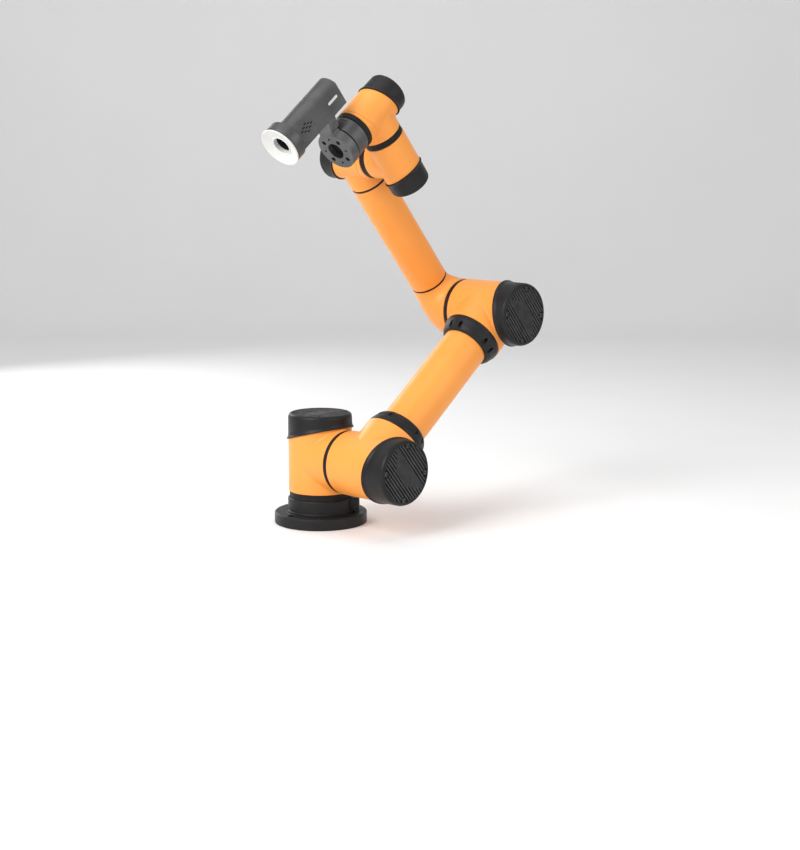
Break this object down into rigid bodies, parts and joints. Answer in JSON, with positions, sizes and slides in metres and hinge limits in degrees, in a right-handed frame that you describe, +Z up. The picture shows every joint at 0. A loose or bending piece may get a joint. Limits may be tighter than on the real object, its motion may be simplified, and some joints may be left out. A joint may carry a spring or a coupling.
{
  "type": "collaborative robot arm",
  "caption": "Jointed industrial robot arm with orange tee modules, black end caps, a round base flange and a ring-lit camera on its tool flange.",
  "frame": {"origin": "centre of the base flange's mounting face", "axes": "+Z up along the base joint's axis, +X along the shoulder joint's axis at rest, the upper arm leaning towards +Y"},
  "size_m": [0.3105, 0.5975, 0.8144],
  "materials": {
    "orange_paint": "satin",
    "black_plastic": "satin",
    "black_paint": "matte black",
    "graphite_paint": "hard anodised",
    "steel": "machined",
    "motor_iron": "plain",
    "black_rubber": "matt",
    "white_diffuser": "satin",
    "lens_black": "black anodised",
    "lens_glass": "coated",
    "board": "satin"
  },
  "bodies": {
    "base": {"base_flange": "black_paint", "base_pedestal": "black_paint", "base_inlet_housing": "black_paint", "base_cable_inlet": "graphite_paint", "base_screw_1": "steel", "base_screw_2": "steel", "base_screw_3": "steel", "base_screw_4": "steel", "base_joint_seal_ring": "black_rubber", "base_joint_output_hub": "steel"},
    "shoulder_link": {"base_joint_housing": "orange_paint", "base_joint_cap": "black_plastic", "base_joint_gear_unit": "steel", "base_joint_motor": "motor_iron", "shoulder_seal_ring": "black_rubber", "shoulder_output_hub": "steel"},
    "upper_arm": {"shoulder_housing": "orange_paint", "shoulder_cap": "black_plastic", "shoulder_gear_unit": "steel", "shoulder_motor": "motor_iron", "upper_arm_lower_collar": "black_paint", "upper_arm_tube": "orange_paint", "upper_arm_cable_harness": "black_rubber", "upper_arm_upper_collar": "black_paint", "elbow_housing": "orange_paint", "elbow_cap": "black_plastic", "elbow_gear_unit": "steel", "elbow_motor": "motor_iron"},
    "forearm": {"elbow_seal_ring": "black_rubber", "elbow_output_hub": "steel", "forearm_elbow": "orange_paint", "forearm_lower_gasket": "black_rubber", "forearm_tube": "orange_paint", "forearm_upper_gasket": "black_rubber", "forearm_cable_harness": "black_rubber", "wrist_1_housing": "orange_paint", "wrist_1_cap": "black_plastic", "wrist_1_gear_unit": "steel", "wrist_1_motor": "motor_iron"},
    "wrist_1_link": {"wrist_1_seal_ring": "black_rubber", "wrist_1_output_hub": "steel", "wrist_2_housing": "orange_paint", "wrist_2_cap": "black_plastic", "wrist_2_gear_unit": "steel", "wrist_2_motor": "motor_iron"},
    "wrist_2_link": {"wrist_2_seal_ring": "black_rubber", "wrist_2_output_hub": "steel", "wrist_3_housing": "orange_paint", "wrist_3_cap": "black_plastic", "wrist_3_gear_unit": "steel", "wrist_3_motor": "motor_iron"},
    "tool": {"wrist_3_seal_ring": "black_rubber", "tool_flange": "graphite_paint", "camera_bracket": "graphite_paint", "camera_housing": "graphite_paint", "camera_bezel": "graphite_paint", "camera_ring_light": "white_diffuser", "camera_lens_barrel": "lens_black", "camera_lens_glass": "lens_glass", "camera_sensor_board": "board"}
  },
  "joints": [
    {"name": "base_joint", "type": "hinge", "parent": "base", "child": "shoulder_link", "pos_m": [0, 0, 0.122], "axis": [0, 0, 1], "range_deg": [-175, 175]},
    {"name": "shoulder_joint", "type": "hinge", "parent": "shoulder_link", "child": "upper_arm", "pos_m": [0.1405, 0, 0.122], "axis": [1, 0, 0], "range_deg": [-214, 135]},
    {"name": "elbow_joint", "type": "hinge", "parent": "upper_arm", "child": "forearm", "pos_m": [0.1405, 0.31595, 0.38014], "axis": [1, 0, 0], "range_deg": [-248, 55]},
    {"name": "wrist_1_joint", "type": "hinge", "parent": "forearm", "child": "wrist_1_link", "pos_m": [0.019, 0.07679, 0.67027], "axis": [1, 0, 0], "range_deg": [-265, 85]},
    {"name": "wrist_2_joint", "type": "hinge", "parent": "wrist_1_link", "child": "wrist_2_link", "pos_m": [0.1215, 0.07679, 0.67027], "axis": [0, -0.6361, 0.7716], "range_deg": [-175, 175]},
    {"name": "wrist_3_joint", "type": "hinge", "parent": "wrist_2_link", "child": "tool", "pos_m": [0.1215, 0.01159, 0.74937], "axis": [0, -0.7716, -0.6361], "range_deg": [-175, 175]}
  ]
}
